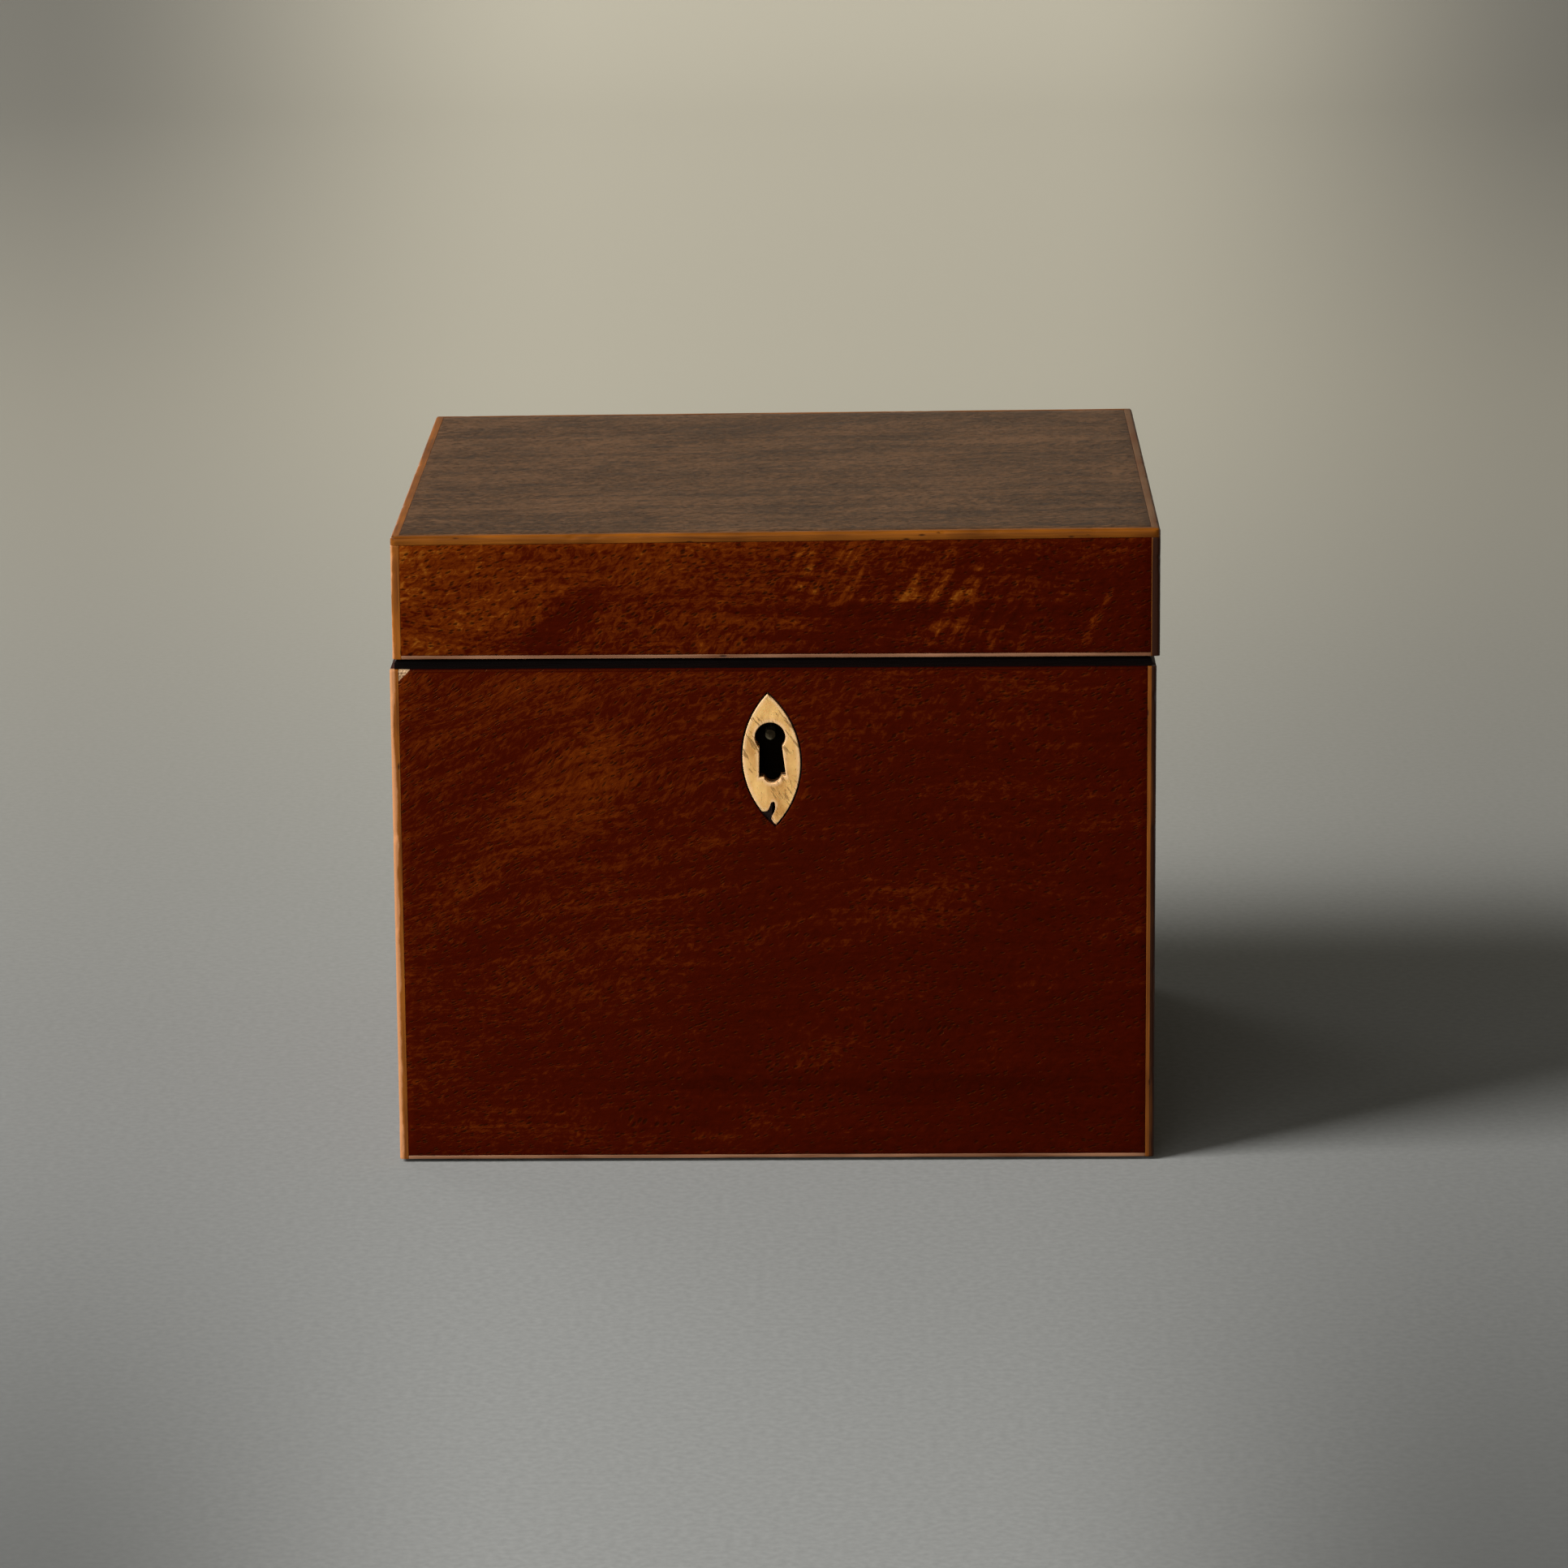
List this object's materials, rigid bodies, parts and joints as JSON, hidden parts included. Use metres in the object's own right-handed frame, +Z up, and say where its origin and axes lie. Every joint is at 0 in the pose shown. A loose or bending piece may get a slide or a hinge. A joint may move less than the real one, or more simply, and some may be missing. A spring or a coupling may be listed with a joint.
{
  "type": "tea caddy",
  "caption": "Small mahogany-veneered box with a hinged flat lid, pale edge stringing, an inlaid pointed-oval keyhole plate, a box lock and a lift-out inner lid.",
  "frame": {"origin": "middle of the underside, on the surface the caddy stands on", "axes": "+X to the right as seen from the front, along the hinge axis; +Y from the front to the hinged back; +Z up"},
  "size_m": [0.1204, 0.111, 0.1021],
  "materials": {
    "mahogany_veneer": "gloss",
    "mahogany_top": "gloss",
    "mahogany_panel": "satin",
    "carcase_wood": "matte",
    "rim_wood": "satin",
    "boxwood": "satin",
    "bone": "satin",
    "lock_brass": "satin",
    "steel": "satin",
    "lead_foil": "satin",
    "baize": "matte"
  },
  "bodies": {
    "caddy_body": {"base_baize": "baize", "base_board": "carcase_wood", "front_board": "carcase_wood", "right_board": "carcase_wood", "back_board": "carcase_wood", "left_board": "carcase_wood", "foil_lining": "lead_foil", "ledge_strips": "carcase_wood", "front_veneer": "mahogany_veneer", "right_veneer": "mahogany_veneer", "back_veneer": "mahogany_veneer", "left_veneer": "mahogany_veneer", "corner_string_front_left": "boxwood", "corner_string_front_right": "boxwood", "corner_string_back_right": "boxwood", "corner_string_back_left": "boxwood", "base_strings": "boxwood", "rim_strip_front": "rim_wood", "rim_strip_right": "rim_wood", "rim_strip_back": "rim_wood", "rim_strip_left": "rim_wood", "corner_patch": "boxwood", "escutcheon": "bone", "lock_plate": "lock_brass", "lock_cap": "lock_brass", "lock_spring": "steel", "lock_key_pin": "steel", "lock_screws": "lock_brass", "hinge_leaf_body_left": "lock_brass", "hinge_leaf_body_right": "lock_brass", "hinge_pin_left": "steel", "hinge_pin_right": "steel", "hinge_screws_body": "lock_brass"},
    "lid": {"lid_front_board": "carcase_wood", "lid_right_board": "carcase_wood", "lid_back_board": "carcase_wood", "lid_left_board": "carcase_wood", "lid_top_board": "carcase_wood", "lid_lining": "baize", "lid_front_veneer": "mahogany_veneer", "lid_right_veneer": "mahogany_veneer", "lid_back_veneer": "mahogany_veneer", "lid_left_veneer": "mahogany_veneer", "lid_top_veneer": "mahogany_top", "lid_top_string_front": "boxwood", "lid_top_string_right": "boxwood", "lid_top_string_back": "boxwood", "lid_top_string_left": "boxwood", "lid_corner_strings": "boxwood", "lid_base_strings": "boxwood", "link_plate": "lock_brass", "link_screws": "lock_brass", "hinge_leaf_lid_left": "lock_brass", "hinge_leaf_lid_right": "lock_brass", "hinge_screws_lid": "lock_brass"},
    "bolt": {"lock_bolt": "steel"},
    "inner_lid": {"inner_lid": "mahogany_panel", "inner_lid_knob": "bone"}
  },
  "joints": [
    {"name": "lid_hinge", "type": "hinge", "parent": "caddy_body", "child": "lid", "pos_m": [0, 0.0535, 0.0817], "axis": [-1, 0, 0], "range_deg": [0, 95]},
    {"name": "bolt_slide", "type": "slide", "parent": "caddy_body", "child": "bolt", "axis": [-1, 0, 0], "range_m": [0, 0.0029]},
    {"name": "inner_lid_lift", "type": "slide", "parent": "caddy_body", "child": "inner_lid", "axis": [0, 0, 1], "range_m": [0, 0.012]}
  ]
}
